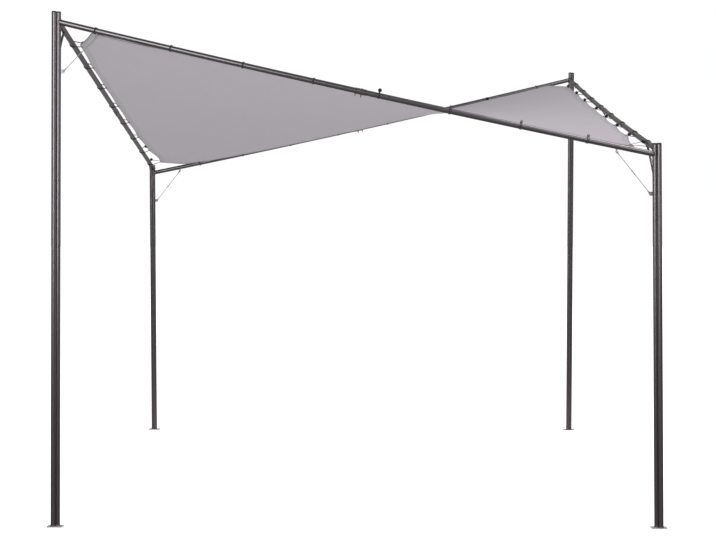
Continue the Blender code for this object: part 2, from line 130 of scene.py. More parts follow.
def makePiece(name, parts, finishes, nodes, crease=35):
    # one object of closed skins, riding on the frame in place of its CAD nodes
    parts = [facingOut(part) for part in parts]
    start = np.cumsum([0] + [len(part["verts"]) for part in parts])
    corners, sizes, uvs, picks = [], [], [], []
    for part, offset in zip(parts, start):
        for faces, uv in ((part["quads"], part["quadUv"]), (part["fans"], part["fanUv"])):
            corners.append((faces + offset).ravel())
            sizes.append(np.full(len(faces), faces.shape[1]))
            uvs.append(uv.reshape(-1, 2))
            picks.append(np.full(len(faces), part["finish"]))
    corners, sizes, uvs = np.concatenate(corners), np.concatenate(sizes), np.concatenate(uvs)
    verts = np.concatenate([part["verts"] for part in parts])
    mesh = bpy.data.meshes.new(name)
    mesh.vertices.add(len(verts))
    mesh.vertices.foreach_set("co", verts.ravel())
    mesh.loops.add(len(corners))
    mesh.loops.foreach_set("vertex_index", corners.astype(np.int32))
    mesh.polygons.add(len(sizes))
    mesh.polygons.foreach_set("loop_start", (np.cumsum(sizes) - sizes).astype(np.int32))
    mesh.polygons.foreach_set("material_index", np.concatenate(picks).astype(np.int32))
    mesh.update(calc_edges=True)
    mesh.uv_layers.new(name="surface").data.foreach_set("uv", uvs.astype(np.float32).ravel())
    mesh.shade_smooth()
    mesh.set_sharp_from_angle(angle=math.radians(crease))
    for finish in finishes:
        mesh.materials.append(finish)
    piece = bpy.data.objects.new(name, mesh)
    bpy.context.scene.collection.objects.link(piece)
    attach(piece, "root")
    if nodes:
        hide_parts(*nodes)
    return piece


class Signal:
    # a shader socket, so that sums and products on it add Math nodes
    def __init__(self, tree, socket):
        self.tree, self.socket = tree, socket

    def mathNode(self, operation, first, second):
        node = self.tree.nodes.new("ShaderNodeMath")
        node.operation = operation
        for socket, value in zip(node.inputs, (first, second)):
            if isinstance(value, Signal):
                self.tree.links.new(value.socket, socket)
            else:
                socket.default_value = value
        return Signal(self.tree, node.outputs[0])

    def __add__(self, other):
        return self.mathNode("ADD", self, other)

    def __sub__(self, other):
        return self.mathNode("SUBTRACT", self, other)

    def __rsub__(self, other):
        return self.mathNode("SUBTRACT", other, self)

    def __mul__(self, other):
        return self.mathNode("MULTIPLY", self, other)

    __radd__, __rmul__ = __add__, __mul__


class Finish:
    # one procedural material on the Principled shader
    def __init__(self, name):
        self.material = bpy.data.materials.new(name)
        self.material.use_nodes = True
        self.tree = self.material.node_tree
        self.shader = self.tree.nodes["Principled BSDF"]

    def plug(self, socket, value):
        if isinstance(value, Signal):
            self.tree.links.new(value.socket, socket)
        elif value is not None:
            socket.default_value = value

    def node(self, kind, settings=None, sockets=None, output=0):
        made = self.tree.nodes.new(kind)
        for key, value in (settings or {}).items():
            if key == "stops":
                for stop, (place, colour) in zip(made.color_ramp.elements, value):
                    stop.position, stop.color = place, colour
            else:
                setattr(made, key, value)
        for key, value in (sockets or {}).items():
            self.plug(made.inputs[key], value)
        return Signal(self.tree, made.outputs[output])

    def place(self):
        return self.node("ShaderNodeTexCoord", output="Object")

    def surface(self):
        return self.node("ShaderNodeUVMap", {"uv_map": "surface"})

    def parts(self, vector):
        split = self.node("ShaderNodeSeparateXYZ", None, {0: vector})
        outputs = split.socket.node.outputs
        return [Signal(self.tree, outputs[k]) for k in range(3)]

    def noise(self, vector, scale, detail=3.0, roughness=0.5):
        sockets = {"Vector": vector, "Scale": scale, "Detail": detail, "Roughness": roughness}
        return self.node("ShaderNodeTexNoise", None, sockets)

    def ramp(self, signal, low, high, first=0.0, last=1.0):
        settings = {"interpolation_type": "SMOOTHSTEP"}
        sockets = {0: signal, 1: low, 2: high, 3: first, 4: last}
        return self.node("ShaderNodeMapRange", settings, sockets)

    def wave(self, signal, frequency, phase=0.0):
        return self.node("ShaderNodeMath", {"operation": "SINE"},
                         {0: signal * (2 * math.pi * frequency) + phase})

    def blendColour(self, factor, first, second):
        return self.node("ShaderNodeMix", {"data_type": "RGBA"},
                         {0: factor, 6: (*first, 1.0) if isinstance(first, tuple) else first,
                          7: (*second, 1.0) if isinstance(second, tuple) else second}, 2)

    def bump(self, height, distance, strength=1.0):
        return self.node("ShaderNodeBump", None,
                         {"Height": height, "Distance": distance, "Strength": strength})

    def finish(self, **sockets):
        names = {"colour": "Base Color", "roughness": "Roughness", "metallic": "Metallic",
                 "normal": "Normal", "edgeTint": "Specular Tint", "specular": "Specular IOR Level",
                 "sheen": "Sheen Weight", "sheenRoughness": "Sheen Roughness"}
        for key, value in sockets.items():
            if isinstance(value, tuple):
                value = (*value, 1.0)
            self.plug(self.shader.inputs[names[key]], value)
        return self.material


# satin dark powder coat: fine orange peel, slow cloudiness, duller near the ground, and painted shade
# that darkens and warms it towards the ground
paintLook = {"colour": (0.225, 0.212, 0.222), "shadedLowColour": (0.215, 0.185, 0.195), "roughness": 0.29,
             "cloud": 0.05, "peelScale": 420.0, "peelDepth": 0.000003, "edgeTint": (0.45, 0.45, 0.45)}


def makePaint():
    # base colour darker and warmer with lower height as painted shade, roughness by two noises, orange
    # peel as bump
    paint = Finish("frame_powder_coat")
    place = paint.place()
    height = paint.parts(place)[2]
    cloud = paint.noise(place, 5.0)
    fine = paint.noise(place, 24.0, 3.0)
    # painted shade: from 1.5 m down to the ground the colour blends towards the darker, warmer low
    # colour, as the light falls from above
    low = paint.ramp(height, 0.02, 1.5, 1.0, 0.0)
    colour = paint.blendColour(low * 0.8 + cloud * 0.2, paintLook["colour"], paintLook["shadedLowColour"])
    rough = paintLook["roughness"] + paintLook["cloud"] * (cloud + fine - 1.0)
    scuff = paint.ramp(paint.noise(place, 38.0, 6.0, 0.7) + paint.ramp(height, 0.0, 0.10, 0.2, 0.0),
                       0.72, 0.86)
    peel = paint.noise(place, paintLook["peelScale"], 2.0)
    return paint.finish(colour=colour, roughness=rough + scuff * 0.02, metallic=0.90,
                        edgeTint=paintLook["edgeTint"],
                        normal=paint.bump(peel, paintLook["peelDepth"], 0.6))


def makeWeldPaint():
    # the same coat over a weld bead, a little glossier and lumpier
    paint = Finish("weld_powder_coat")
    place = paint.place()
    lumps = paint.noise(place, 420.0, 2.0)
    return paint.finish(colour=(0.180, 0.168, 0.174), roughness=0.27 + lumps * 0.1, metallic=0.90,
                        edgeTint=paintLook["edgeTint"], normal=paint.bump(lumps, 0.0003, 0.7))


def makeZinc(name, colour, roughness, spangle, grain):
    # metal with soft spangles and fine streaks
    zinc = Finish(name)
    place = zinc.place()
    cells = zinc.node("ShaderNodeTexVoronoi", None, {"Vector": place, "Scale": spangle}, 1)
    tone = zinc.node("ShaderNodeRGBToBW", None, {0: cells})
    streak = zinc.noise(zinc.node("ShaderNodeMapping", None,
                                  {"Vector": place, "Scale": (grain, grain * 9, grain)}), 1.0, 4.0)
    dark = tuple(0.72 * part for part in colour)
    return zinc.finish(colour=zinc.blendColour(tone * 0.6 + streak * 0.4, dark, colour),
                       roughness=roughness + tone * 0.12 + streak * 0.08, metallic=0.35,
                       normal=zinc.bump(streak, 0.00005, 0.5))


def makePlastic(name, colour, roughness):
    # moulded plastic: fine spark-eroded grain and faint flow marks
    plastic = Finish(name)
    place = plastic.place()
    grain = plastic.noise(place, 1400.0, 2.0)
    flow = plastic.noise(place, 30.0, 4.0, 0.6)
    lighter = tuple(1.7 * part for part in colour)
    return plastic.finish(colour=plastic.blendColour(flow, colour, lighter),
                          roughness=roughness + flow * 0.12, specular=0.4,
                          normal=plastic.bump(grain, 0.00006, 0.5))


# knitted shade cloth: crossing yarns, slow tone changes, a darker hem with two stitch rows, and a
# painted shade line along the rolled rim
clothLook = {"colour": (0.402, 0.364, 0.408), "yarn": (0.340, 0.306, 0.345), "pitch": 0.0024,
             "hem": 0.034, "rim": 0.0050, "stitchRows": (0.0085, 0.0295), "stitch": 0.0042,
             "stitchHalf": 0.0009, "thread": (0.22, 0.20, 0.22)}


def makeCloth():
    # knit as wave(x) * wave(y); hem, painted rim shade and stitches by the distance from the rim
    cloth = Finish("knitted_sail_cloth")
    place = cloth.place()
    x, y, _ = cloth.parts(place)
    along, inside, _ = cloth.parts(cloth.surface())
    frequency = 1 / clothLook["pitch"]
    wobble = cloth.noise(place, 35.0, 2.0) * 0.004
    wales = cloth.wave(x + wobble, frequency)
    courses = cloth.wave(y + wobble, frequency * 0.8, 0.7)
    knit = wales * courses * 0.5 + 0.5
    slow = cloth.noise(place, 2.6, 4.0, 0.55)
    fibre = cloth.noise(place, 260.0, 3.0, 0.6)
    hem = 1.0 - cloth.ramp(inside, clothLook["hem"] - 0.001, clothLook["hem"])
    thread = 0.0
    for row in clothLook["stitchRows"]:
        near = cloth.node("ShaderNodeMath", {"operation": "COMPARE"},
                          {0: inside, 1: row, 2: clothLook["stitchHalf"]})
        thread = near + thread
    dash = cloth.ramp(cloth.wave(along, 1 / clothLook["stitch"]), -0.35, -0.15)
    thread = thread * dash
    base = cloth.blendColour(knit * 0.45 + slow * 0.35 + fibre * 0.2,
                             clothLook["yarn"], clothLook["colour"])
    darkHem = tuple(0.80 * part for part in clothLook["yarn"])
    # painted shade: this colour, 0.3 of the yarn, darkens the outer 3 to 5 mm of the rolled rim as the
    # rim's own shadow
    rimShadeColour = tuple(0.30 * part for part in clothLook["yarn"])
    colour = cloth.blendColour(hem * 0.28, base, darkHem)
    rim = 1.0 - cloth.ramp(inside, clothLook["rim"] * 0.6, clothLook["rim"])
    colour = cloth.blendColour(rim * 0.8, colour, rimShadeColour)
    colour = cloth.blendColour(thread, colour, clothLook["thread"])
    height = knit * 0.6 + fibre * 0.25 + thread * 1.4
    return cloth.finish(colour=colour, roughness=0.82 + fibre * 0.1, specular=0.25, sheen=0.12,
                        sheenRoughness=0.5, normal=cloth.bump(height, 0.00016, 0.55))


def makeCord():
    # braided elastic: two crossed sets of diagonal yarns, and pale flecks
    cord = Finish("braided_elastic")
    around, along, _ = cord.parts(cord.surface())
    place = cord.place()
    left = cord.wave(along * 420.0 + around * 300.0, 1.0)
    right = cord.wave(along * 420.0 - around * 300.0, 1.0)
    braid = left * right * 0.5 + 0.5
    flecks = cord.ramp(cord.noise(place, 900.0, 2.0), 0.62, 0.70)
    tone = cord.blendColour(braid, (0.018, 0.017, 0.019), (0.050, 0.047, 0.050))
    return cord.finish(colour=cord.blendColour(flecks * 0.35, tone, (0.16, 0.15, 0.16)),
                       roughness=0.62 + braid * 0.2, sheen=0.2, sheenRoughness=0.4, specular=0.3,
                       normal=cord.bump(braid, 0.00025, 0.8))


paint, weldPaint = makePaint(), makeWeldPaint()
plateZinc = makeZinc("plate_zinc", (0.52, 0.52, 0.54), 0.36, 140.0, 90.0)
wireSteel = makeZinc("wire_steel", (0.30, 0.30, 0.31), 0.36, 700.0, 500.0)
eyeletSteel = makeZinc("eyelet_steel", (0.34, 0.33, 0.34), 0.34, 500.0, 300.0)
capPlastic = makePlastic("cap_plastic", (0.020, 0.020, 0.021), 0.42)
ballPlastic = makePlastic("ball_plastic", (0.006, 0.006, 0.007), 0.30)
cloth, elastic = makeCloth(), makeCord()
print("finishes made")


# where things are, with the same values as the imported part
plan = {"halfSpan": 1.5, "leanX": 0.005, "leanY": 0.040, "tall": 2.570, "short": 1.915,
        "tube": 0.0125, "pitch": 0.0253, "beam": 0.014, "dropTall": 0.052, "dropShort": 0.056,
        "dropShortSide": 0.026, "bow": 0.006, "sag": 0.013, "joint": 0.5085}
cornerPlaces = {"front_left": (-1, -1, True), "front_right": (1, -1, False),
                "back_left": (-1, 1, False), "back_right": (1, 1, True)}
edgePlaces = {"front": ("front_left", "front_right", (0, 1, 0)),
              "back": ("back_right", "back_left", (0, -1, 0)),
              "left": ("front_left", "back_left", (1, 0, 0)),
              "right": ("back_right", "front_right", (-1, 0, 0))}


def postHeight(corner):
    # one height for the two tall posts, one for the two short ones
    return plan["tall"] if cornerPlaces[corner][2] else plan["short"]


def tubeAxis(corner, height, outward):
    # leaning line: out at the foot, in at the top, and half the pair's pitch off to one side
    signX, signY, _ = cornerPlaces[corner]
    height = np.asarray(height, float)
    share = 1 - 2 * height / postHeight(corner)
    step = outward * plan["pitch"] / 2 / math.sqrt(2)
    return np.stack([signX * (plan["halfSpan"] + plan["leanX"] * share + step),
                     signY * (plan["halfSpan"] + plan["leanY"] * share + step), height], -1)


def beamEnd(edge, corner):
    # on the inner tube's axis, a drop below the post's top
    drop = plan["dropTall"]
    if not cornerPlaces[corner][2]:
        drop = plan["dropShortSide"] if edge in ("left", "right") else plan["dropShort"]
    return tubeAxis(corner, postHeight(corner) - drop, -1)


def beamLength(edge):
    # distance in plan between the beam's two ends
    tall, short, _ = edgePlaces[edge]
    return float(np.linalg.norm((beamEnd(edge, short) - beamEnd(edge, tall))[:2]))


def beamLine(edge, share):
    # straight line from the tall end to the short one, bowed in and down by 4 t (1 - t)
    tall, short, inward = edgePlaces[edge]
    share = np.asarray(share, float)[..., None]
    start, end = beamEnd(edge, tall), beamEnd(edge, short)
    bow = np.array(inward) * plan["bow"] - np.array([0, 0, plan["sag"]])
    return start + (end - start) * share + bow * 4 * share * (1 - share)


def beamFrame(edge, share):
    # direction along the beam, and the directions square to it towards the sail and upwards
    along = unit(beamLine(edge, share + 0.001) - beamLine(edge, share - 0.001))
    inward = np.array(edgePlaces[edge][2], float)
    inward = unit(inward - along * (along @ inward))
    up = np.cross(along, inward)
    return along, inward, up * np.sign(up[2])


cameraLook = {"place": (0.0764, -8.2219, 1.5523), "down": 2.300, "turn": 0.587, "lens": 67.96}
# strengths of the surround, and each panel's place, target, size and radiance
studioLook = {"soft": 0.66, "frontGloss": 0.085, "backGloss": 0.66, "floorGlow": 0.33,
              "panels": {
                  "front_left": ((-2.35, -6.5, 3.1), (-1.3, -1.5, 2.2), (2.7, 3.3), 4.2),
                  "front_right": ((2.6, -6.2, 3.3), (1.4, -1.5, 2.0), (1.5, 3.2), 2.2),
                  "overhead": ((2.75, -1.7, 4.7), (1.6, -1.4, 1.9), (1.6, 2.6), 5.2)}}
cameraData = bpy.data.cameras.new("view")
cameraData.lens, cameraData.sensor_width = cameraLook["lens"], 36.0
cameraData.clip_end = 200.0
camera = bpy.data.objects.new("view", cameraData)
camera.location = cameraLook["place"]
camera.rotation_euler = (math.radians(90 - cameraLook["down"]), 0, math.radians(cameraLook["turn"]))
bpy.context.scene.collection.objects.link(camera)
bpy.context.scene.camera = camera
bpy.context.scene.view_settings.view_transform = "Standard"


def addSoftLight(name, place, target, size, power):
    # rectangular panel turned so that its front looks from its place to the target
    light = bpy.data.lights.new(name, "AREA")
    light.shape, light.size, light.size_y, light.energy = "RECTANGLE", size[0], size[1], power
    lamp = bpy.data.objects.new(name, light)
    lamp.location = place
    lamp.visible_camera = False
    back = np.array(place, float) - np.array(target, float)
    flat = math.hypot(back[0], back[1])
    lamp.rotation_euler = (math.atan2(flat, back[2]), 0, math.atan2(back[0], -back[1]))
    bpy.context.scene.collection.objects.link(lamp)


def makeStudio():
    # white for the camera and for soft light; glossy paint sees it bright behind, dim in front
    world = bpy.data.worlds.new("studio")
    bpy.context.scene.world = world
    world.use_nodes = True
    tree = world.node_tree
    background = tree.nodes["Background"]
    rays = tree.nodes.new("ShaderNodeLightPath")
    camera = Signal(tree, rays.outputs["Is Camera Ray"])
    gloss = Signal(tree, rays.outputs["Is Glossy Ray"])
    facing = tree.nodes.new("ShaderNodeTexCoord")
    split = tree.nodes.new("ShaderNodeSeparateXYZ")
    tree.links.new(facing.outputs["Generated"], split.inputs[0])
    fade = tree.nodes.new("ShaderNodeMapRange")
    fade.interpolation_type = "SMOOTHSTEP"
    tree.links.new(split.outputs["Y"], fade.inputs["Value"])
    for key, value in (("From Min", 0.0), ("From Max", 0.85), ("To Min", studioLook["frontGloss"]),
                       ("To Max", studioLook["backGloss"])):
        fade.inputs[key].default_value = value
    seen = Signal(tree, fade.outputs[0])
    strength = camera * (1.02 - studioLook["soft"]) + (1 - gloss) * studioLook["soft"] + gloss * seen
    tree.links.new(strength.socket, background.inputs["Strength"])
    background.inputs["Color"].default_value = (1, 1, 1, 1)
    for name, (place, target, size, radiance) in studioLook["panels"].items():
        addSoftLight(name, place, target, size, radiance * math.pi * size[0] * size[1])


def makeFloor():
    # pale plane that glows a little, dark to glossy paint in front and bright behind the posts
    floor = Finish("pale_floor")
    place = floor.place()
    tone = floor.noise(place, 0.8)
    path = floor.node("ShaderNodeLightPath").socket.node
    camera = Signal(floor.tree, path.outputs["Is Camera Ray"])
    gloss = Signal(floor.tree, path.outputs["Is Glossy Ray"])
    pale = floor.blendColour(tone, (0.80, 0.80, 0.80), (0.84, 0.84, 0.84))
    floor.finish(colour=floor.blendColour(gloss, pale, (0.05, 0.05, 0.05)),
                 roughness=0.9, specular=0.0)
    behind = floor.ramp(floor.parts(place)[1], -1.0, 4.0, studioLook["frontGloss"] * 0.6,
                        studioLook["backGloss"])
    glow = camera * 0.6 + (1 - gloss) * studioLook["floorGlow"] + gloss * behind
    floor.shader.inputs["Emission Color"].default_value = (1, 1, 1, 1)
    floor.plug(floor.shader.inputs["Emission Strength"], glow)
    mesh = bpy.data.meshes.new("floor")
    reach, level = 60.0, -0.0004
    mesh.from_pydata([(-reach, -reach, level), (reach, -reach, level), (reach, reach, level),
                      (-reach, reach, level)], [], [(0, 1, 2, 3)])
    mesh.materials.append(floor.material)
    ground = bpy.data.objects.new("floor", mesh)
    bpy.context.scene.collection.objects.link(ground)


makeStudio()
makeFloor()
print("studio made")


# posts: tube, weld at the foot, plate and caps
postLook = {"sides": 48, "rows": 26, "capHeight": 0.008, "capGap": 0.0003, "bare": 0.012}
# the weld fillet's heights, and how far it stands out from the tube
weldProfile = np.array([[0.0041, 0.0027], [0.0047, 0.0026], [0.0056, 0.0019], [0.0066, 0.0008],
                        [0.0076, 0.0001]])


def postTube(corner, outward):
    # round tube on its leaning line, with a weld fillet that runs out from it at the foot
    top = postHeight(corner) - postLook["capHeight"] - postLook["capGap"]
    heights = np.concatenate([weldProfile[:, 0], np.linspace(postLook["bare"], top, postLook["rows"])])
    flare = np.concatenate([weldProfile[:, 1], np.zeros(postLook["rows"])])
    angle = np.arange(postLook["sides"]) * 2 * math.pi / postLook["sides"]
    ripple = 1 + 0.10 * np.sin(15 * angle) + 0.06 * np.sin(7 * angle + 1.0)
    radius = plan["tube"] + flare[:, None] * ripple
    spokes = np.stack([np.cos(angle), np.sin(angle)], -1)
    rings = np.concatenate([spokes * radius[..., None], np.zeros(radius.shape + (1,))], -1)
    return shell(tubeAxis(corner, heights, outward)[:, None] + rings)


quarterPoints = 7  # on each rounded corner of a plate or tab


def plateOutline(width, depth, radius, inset):
    # rounded rectangle: four quarter circles, drawn in by inset
    quarter = np.tile(np.linspace(0, math.pi / 2, quarterPoints), 4)
    angle = np.repeat(np.arange(4) * math.pi / 2, quarterPoints) + quarter
    hubX = np.repeat([1, -1, -1, 1], quarterPoints) * (width / 2 - radius)
    hubY = np.repeat([1, 1, -1, -1], quarterPoints) * (depth / 2 - radius)
    return np.stack([hubX + (radius - inset) * np.cos(angle),
                     hubY + (radius - inset) * np.sin(angle)], -1)


plateLook = {"width": 0.080, "depth": 0.050, "thick": 0.004, "corner": 0.006, "edge": 0.0007}


def footPlate(corner):
    # rounded rectangle stacked up through the plate's thickness, with rounded edges
    edge, thick = plateLook["edge"], plateLook["thick"]
    levels = [(0.0, edge), (edge * 0.35, edge * 0.35), (edge, 0.0), (thick - edge, 0.0),
              (thick - edge * 0.35, edge * 0.35), (thick, edge)]
    centre = tubeAxis(corner, 0.0, 0)
    rows = [np.column_stack([plateOutline(plateLook["width"], plateLook["depth"],
                                          plateLook["corner"], inset) + centre[:2],
                             np.full(4 * quarterPoints, level)]) for level, inset in levels]
    return shell(np.stack(rows))


# a cap's radii and heights, from its rim to its crown
domeProfile = np.array([[0.0121, 0.0], [0.0125, 0.0005], [0.0125, 0.0031], [0.01215, 0.0047],
                        [0.0111, 0.0061], [0.0095, 0.0071], [0.0072, 0.0077], [0.0036, 0.00795],
                        [0.0008, 0.008]])


def postCap(corner):
    # two low domed plugs, and a narrow elliptical web carried between them
    signX, signY, _ = cornerPlaces[corner]
    level = postHeight(corner) - postLook["capHeight"]
    domes = [shell(lathe(domeProfile, tubeAxis(corner, level, outward), (0, 0, 1), 40))
             for outward in (1, -1)]
    diagonal = unit(np.array([signX, signY, 0.0]))
    middle = tubeAxis(corner, level, 0) + np.array([0, 0, 0.0012])
    path = middle + np.linspace(-0.006, 0.006, 5)[:, None] * diagonal
    ring = circle(1.0, 16) * np.array([0.0036, 0.0014])
    return domes + [shell(sweep(path, ring, (0, 0, 1)))]


for corner in cornerPlaces:
    makePiece("post_outer_" + corner, [postTube(corner, 1)], [paint],
              ["post_" + corner + "_outer_tube"])
    makePiece("post_inner_" + corner, [postTube(corner, -1)], [paint],
              ["post_" + corner + "_inner_tube"])
    makePiece("plate_" + corner, [footPlate(corner)], [plateZinc],
              ["foot_plate_" + corner])
    makePiece("caps_" + corner, postCap(corner), [capPlastic], ["post_cap_" + corner])
print("posts made")


# beams: two tubes with a sleeve over their joint
beamLook = {"sides": 48, "rows": 56, "mouth": 0.0126, "mouthLow": 0.0042, "bead": 0.0021,
            "sleeve": 0.046, "sleeveRadius": 0.0156, "sleeveBore": 0.0141,
            "sleeveEdge": 0.0006, "straight": 0.022}


def beamHalf(edge, fromTall):
    # round tube along the bowed line, its end hollowed to the post: along + across offset lies on
    # the post's circle, distance = sqrt(mouth squared - across squared)
    first, last = (0.0, plan["joint"]) if fromTall else (1.0, plan["joint"])
    inFromEnd = beamLook["straight"] if fromTall else -beamLook["straight"]
    start = first + inFromEnd / beamLength(edge)
    share = np.concatenate([[first], np.linspace(start, last, beamLook["rows"])])
    line = beamLine(edge, share)
    points = sweep(line, circle(plan["beam"], beamLook["sides"]), (0, 0, 1))
    along = unit(line[2] - line[1])
    flat = unit(along * np.array([1, 1, 0]))
    offset = points[1] - line[1]
    across = offset @ np.cross(flat, [0, 0, 1])
    gap = np.sqrt(np.maximum(beamLook["mouth"] ** 2 - across ** 2, beamLook["mouthLow"] ** 2))
    shift = (gap - offset @ flat) / (along @ flat)
    points[0] = line[0] + offset + shift[:, None] * along
    angle = np.arange(beamLook["sides"]) * 2 * math.pi / beamLook["sides"]
    size = beamLook["bead"] * (1 + 0.12 * np.sin(17 * angle))
    bead = sweep(points[0], circle(1.0, 10) * size[:, None, None], along, closed=True)
    return [shell(points), shell(bead, wrapRows=True, finish=1)]


def beamSleeve(edge):
    # collar over the joint: an outer wall with rounded rims, and an inner wall on the tube
    half, radius = beamLook["sleeve"] / 2, beamLook["sleeveRadius"]
    bore, rim = beamLook["sleeveBore"], beamLook["sleeveEdge"]
    steps = np.array([[-half, bore], [-half, radius - rim], [-half + rim, radius],
                      [half - rim, radius], [half, radius - rim], [half, bore]])
    line = beamLine(edge, plan["joint"] + steps[:, 0] / beamLength(edge))
    along, inward, up = beamFrame(edge, plan["joint"])
    spokes = circle(1.0, 48) @ np.stack([inward, up])
    return shell(line[:, None] + spokes * steps[:, 1][:, None, None], wrapRows=True)


# bolts' places along the beam, seen from its joint
boltLook = {"places": (0.0, -0.029), "head": 0.0046, "reach": 0.0125}


def sleeveBolts(edge):
    # domed heads on top, and nuts and bolt ends underneath, square to the beam
    parts = []
    for place in boltLook["places"]:
        share = plan["joint"] + place / beamLength(edge)
        wall = beamLook["sleeveRadius"] if place == 0.0 else plan["beam"]
        along, inward, up = beamFrame(edge, share)
        middle = beamLine(edge, share)
        size = boltLook["head"]
        head = [[size, -0.0012], [size, 0.0003], [size * 0.86, 0.0011], [size * 0.55, 0.0016],
                [size * 0.15, 0.0018]]
        parts.append(shell(lathe(head, middle + up * wall, up), finish=1))
        nut = [[0.0050, -0.0012], [0.0050, 0.0002], [0.0046, 0.0006], [0.0046, 0.0040],
               [0.0038, 0.0047]]
        parts.append(shell(lathe(nut, middle - up * wall, -up, 6), finish=1))
        reach = boltLook["reach"]
        end = [[0.0024, 0.0], [0.0026, 0.0050], [0.0026, reach - 0.0006], [0.0021, reach]]
        parts.append(shell(lathe(end, middle - up * wall, -up, 16), finish=1))
    return parts


for edge in edgePlaces:
    makePiece("tube_high_" + edge, beamHalf(edge, True), [paint, weldPaint],
              ["beam_" + edge + "_high"])
    makePiece("tube_low_" + edge, beamHalf(edge, False), [paint, weldPaint],
              ["beam_" + edge + "_low"])
    makePiece("sleeve_" + edge, [beamSleeve(edge)] + sleeveBolts(edge), [paint, paint],
              ["beam_sleeve_" + edge])
print("beams made")


# braces stand on the beams' underside, stays pull at the front and back ones
braceLook = {"radius": 0.006, "alongTall": 0.125, "alongShort": 0.200, "down": 0.172, "bend": 0.18,
             "bite": 0.001, "weldRadius": 0.0062, "weldBead": 0.0019}


def bezier(first, knee, last, count):
    # (1 - t)^2 first + 2 t (1 - t) knee + t^2 last
    t = np.linspace(0, 1, count)[:, None]
    return (1 - t) ** 2 * first + 2 * t * (1 - t) * knee + t ** 2 * last


def weldRing(middle, along, radius, bead):
    # torus round a rod: a small circle carried round a larger one
    ring = lathe([[radius, 0.0]], middle, along, 28)[0]
    return shell(sweep(ring, circle(bead, 8), along, closed=True), wrapRows=True, finish=1)


def cornerBrace(edge, corner):
    # bent rod from the post to the beam's underside, kept where it is outside both tubes
    tall = cornerPlaces[corner][2]
    reach = (braceLook["alongTall"] if tall else braceLook["alongShort"]) / beamLength(edge)
    onBeam = beamLine(edge, reach if tall else 1 - reach)
    end = beamEnd(edge, corner)
    onPost = tubeAxis(corner, end[2] - braceLook["down"], -1)
    knee = (onPost + onBeam) / 2
    knee = knee + (end - knee) * braceLook["bend"]
    path = bezier(onPost, knee, onBeam, 240)
    fromPost = np.linalg.norm((path - tubeAxis(corner, path[:, 2], -1))[:, :2], axis=1)
    along = beamFrame(edge, reach if tall else 1 - reach)[0]
    fromBeam = np.linalg.norm(np.cross(path - onBeam, along), axis=1)
    bite = braceLook["bite"]
    path = path[(fromPost > plan["tube"] - bite) & (fromBeam > plan["beam"] - bite)]
    rod = shell(sweep(path[::6], circle(braceLook["radius"], 28), np.cross(along, (0, 0, 1))))
    first, last = unit(path[1] - path[0]), unit(path[-1] - path[-2])
    radius, bead = braceLook["weldRadius"], braceLook["weldBead"]
    return [rod, weldRing(path[0] + first * 0.004, first, radius, bead),
            weldRing(path[-1] - last * 0.002, last, radius, bead)]


stayLook = {"along": 0.190, "riseTall": 0.201, "riseShort": 0.236, "lug": 0.012,
            "wire": 0.0015, "lay": 0.018, "ring": 0.0045,
            "tab": (0.018, 0.020, 0.004)}


def twistedWire(start, end, side):
    # seven-lobed strand, radius * (1 + 0.16 cos(7 angle - turn)), that turns once for every lay
    count = 3 * int(np.linalg.norm(end - start) / stayLook["lay"] * 4) + 2
    path = start + np.linspace(0, 1, count)[:, None] * (end - start)
    distance = np.linspace(0, np.linalg.norm(end - start), count)[:, None]
    angle = np.arange(28) * 2 * math.pi / 28
    radius = stayLook["wire"] * (1 + 0.16 * np.cos(7 * angle - distance / stayLook["lay"]
                                                   * 2 * math.pi))
    ring = np.stack([np.cos(angle) * radius, np.sin(angle) * radius], -1)
    return shell(sweep(path, ring, side))


def eyeRing(middle, along, bead):
    # torus in the frame's plane for a thimble or an eye
    ring = lathe([[stayLook["ring"], 0.0]], middle, along, 28)[0]
    return shell(sweep(ring, circle(bead, 10), along, closed=True), wrapRows=True)


